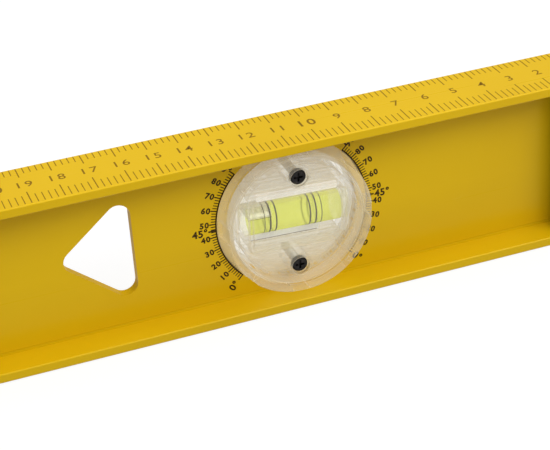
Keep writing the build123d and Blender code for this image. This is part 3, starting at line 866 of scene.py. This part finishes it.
def build_vials():
    bodies = {"angle": "angle_dial", "plumb": "beam", "centre": "beam"}
    for name, place in vial_places().items():
        liquid_fill(name, place, bodies[name])
        ring_lines(name, place, bodies[name])
        vial_bands(name, place, bodies[name])
        paint_node(name + "_vial_block", clear_block(name + "_block", place))
        paint_node(name + "_vial_plug", materials["plug"])
        paint_node(name + "_vial_bubble", materials["bubble"])


# ---- carried-over CAD nodes ---------------------------------------------------------------------------
def paint_node(node, material):
    mesh = nodes[node].data
    if not mesh.materials:
        mesh.materials.append(material)
    for index in range(len(mesh.materials)):
        mesh.materials[index] = material


def paint_cad_nodes():
    paint_node("i_beam", materials["paint"])
    for side in ("left", "right"):
        paint_node("end_cap_" + side, materials["cap"])
    for half in ("front", "rear"):
        paint_node(f"dial_{half}_cover", materials["dial_cover"])
        for housing in ("plumb", "centre"):
            paint_node(f"{housing}_{half}_cover", materials[housing + "_cover"])
    for group in ("dial_screws", "plumb_cover_screws", "centre_cover_screws"):
        paint_node(group, materials["screw"])


# ---- stage, light and camera ----------------------------------------------------------------------------
def floor_white():
    """Pale floor: bright to the eye and in reflections, dimmer as a source of light."""
    material, tree = new_material("floor")
    tone = remap(tree, noise(tree, scale=3.0), 0.3, 0.7, 0.93, 0.95)
    colour = add(tree, "CombineColor", {0: tone, 1: tone, 2: tone}).outputs[0]
    matte = add(tree, "BsdfDiffuse", {"Color": colour}).outputs[0]
    bounced = add(tree, "LightPath").outputs["Is Diffuse Ray"]
    strength = remap(tree, bounced, 0, 1, 1.1, 0.10)
    glow = add(tree, "Emission", {"Color": (1, 1, 1, 1), "Strength": strength}).outputs[0]
    finish_material(tree, add(tree, "MixShader", {0: 0.75, 1: matte, 2: glow}).outputs[0])
    return material


def stage_floor():
    shape = bmesh.new()
    bmesh.ops.create_grid(shape, x_segments=8, y_segments=8, size=6.0)
    mesh = bpy.data.meshes.new("floor")
    shape.to_mesh(mesh)
    shape.free()
    floor = bpy.data.objects.new("floor", mesh)
    bpy.context.scene.collection.objects.link(floor)
    floor.location.z = -0.2 * MM
    mesh.materials.append(floor_white())


def area_light(name, location, target, size, power):
    data = bpy.data.lights.new(name, "AREA")
    data.shape = "RECTANGLE"
    data.size, data.size_y = size
    data.energy = power
    lamp = bpy.data.objects.new(name, data)
    bpy.context.scene.collection.objects.link(lamp)
    lamp.location = location
    lamp.rotation_mode = "QUATERNION"
    lamp.rotation_quaternion = (Vector(target) - Vector(location)).to_track_quat("-Z", "Y")
    lamp.visible_camera = False


def studio_light():
    world = bpy.data.worlds.new("studio")
    bpy.context.scene.world = world
    world.use_nodes = True
    tree = world.node_tree
    background = tree.nodes["Background"]
    background.inputs["Color"].default_value = (1.0, 1.0, 1.0, 1)
    path = add(tree, "LightPath").outputs
    strength = maths(tree, "SUBTRACT", 1.0, maths(tree, "MULTIPLY", path["Is Diffuse Ray"], 0.5))
    strength = maths(tree, "SUBTRACT", strength, maths(tree, "MULTIPLY", path["Is Glossy Ray"], 0.7))
    tree.links.new(strength, background.inputs["Strength"])
    middle = (0.15, 0, 0.03)
    area_light("overhead", (0.2, 0.3, 1.6), middle, size=(2.0, 1.4), power=8.0)
    area_light("front_high", (0.95, -1.25, 1.5), middle, size=(1.4, 1.0), power=20.8)


def photo_camera():
    """Looks at the beam beside the dial from the front left and above, with a slight roll."""
    back = Vector((
        -math.sin(CAMERA_AZIMUTH) * math.cos(CAMERA_ELEVATION),
        -math.cos(CAMERA_AZIMUTH) * math.cos(CAMERA_ELEVATION),
        math.sin(CAMERA_ELEVATION),
    ))
    right = Vector((math.cos(CAMERA_AZIMUTH), -math.sin(CAMERA_AZIMUTH), 0))
    up = back.cross(right)
    rolled_right = right * math.cos(CAMERA_ROLL) - up * math.sin(CAMERA_ROLL)
    rolled_up = right * math.sin(CAMERA_ROLL) + up * math.cos(CAMERA_ROLL)
    data = bpy.data.cameras.new("camera")
    data.sensor_width = CAMERA_SENSOR
    data.lens = CAMERA_LENS
    data.shift_x, data.shift_y = CAMERA_SHIFT
    data.clip_start, data.clip_end = 0.01, 50.0
    camera = bpy.data.objects.new("camera", data)
    bpy.context.scene.collection.objects.link(camera)
    rotation = Matrix((rolled_right, rolled_up, back)).transposed().to_4x4()
    camera.matrix_world = Matrix.Translation(CAMERA_TARGET + back * CAMERA_DISTANCE) @ rotation
    bpy.context.scene.camera = camera


def render_look():
    scene = bpy.context.scene
    scene.view_settings.view_transform = "Standard"
    scene.cycles.max_bounces = 20
    scene.cycles.diffuse_bounces = 2
    scene.cycles.transmission_bounces = 20
    scene.cycles.transparent_max_bounces = 40


materials = {
    "paint": beam_paint(),
    "cap": cap_plastic(),
    "plumb_cover": clear_cover("plumb_cover", "plumb_cover_screws"),
    "centre_cover": clear_cover("centre_cover", "centre_cover_screws"),
    "dial_cover": clear_cover("dial_cover", "dial_screws", is_dial=True),
    "plug": plug_plastic(),
    "bubble": bubble_air(),
    "screw": screw_metal(),
    # painted light: the bands glow, the upper one brighter as if lit from above
    "upper_band": white_plastic("upper_band", 0.55),
    "lower_band": white_plastic("lower_band", 0.08),
    "ruler_ink": print_ink("ruler_ink", srgb(134, 99, 6), 0.35),
    "scale_ink": print_ink("scale_ink", srgb(52, 35, 3), 0.08),
    "ring_ink": print_ink("ring_ink", srgb(44, 38, 4), 0.02),
    # painted shade line under the lower band, drawn with the ink shader
    "band_edge_shade": print_ink("band_edge_shade", srgb(120, 108, 84), 0.10),
}

paint_cad_nodes()
ruler_print()
angle_scale_print(-1)
angle_scale_print(1)
build_vials()
stage_floor()
studio_light()
photo_camera()
render_look()
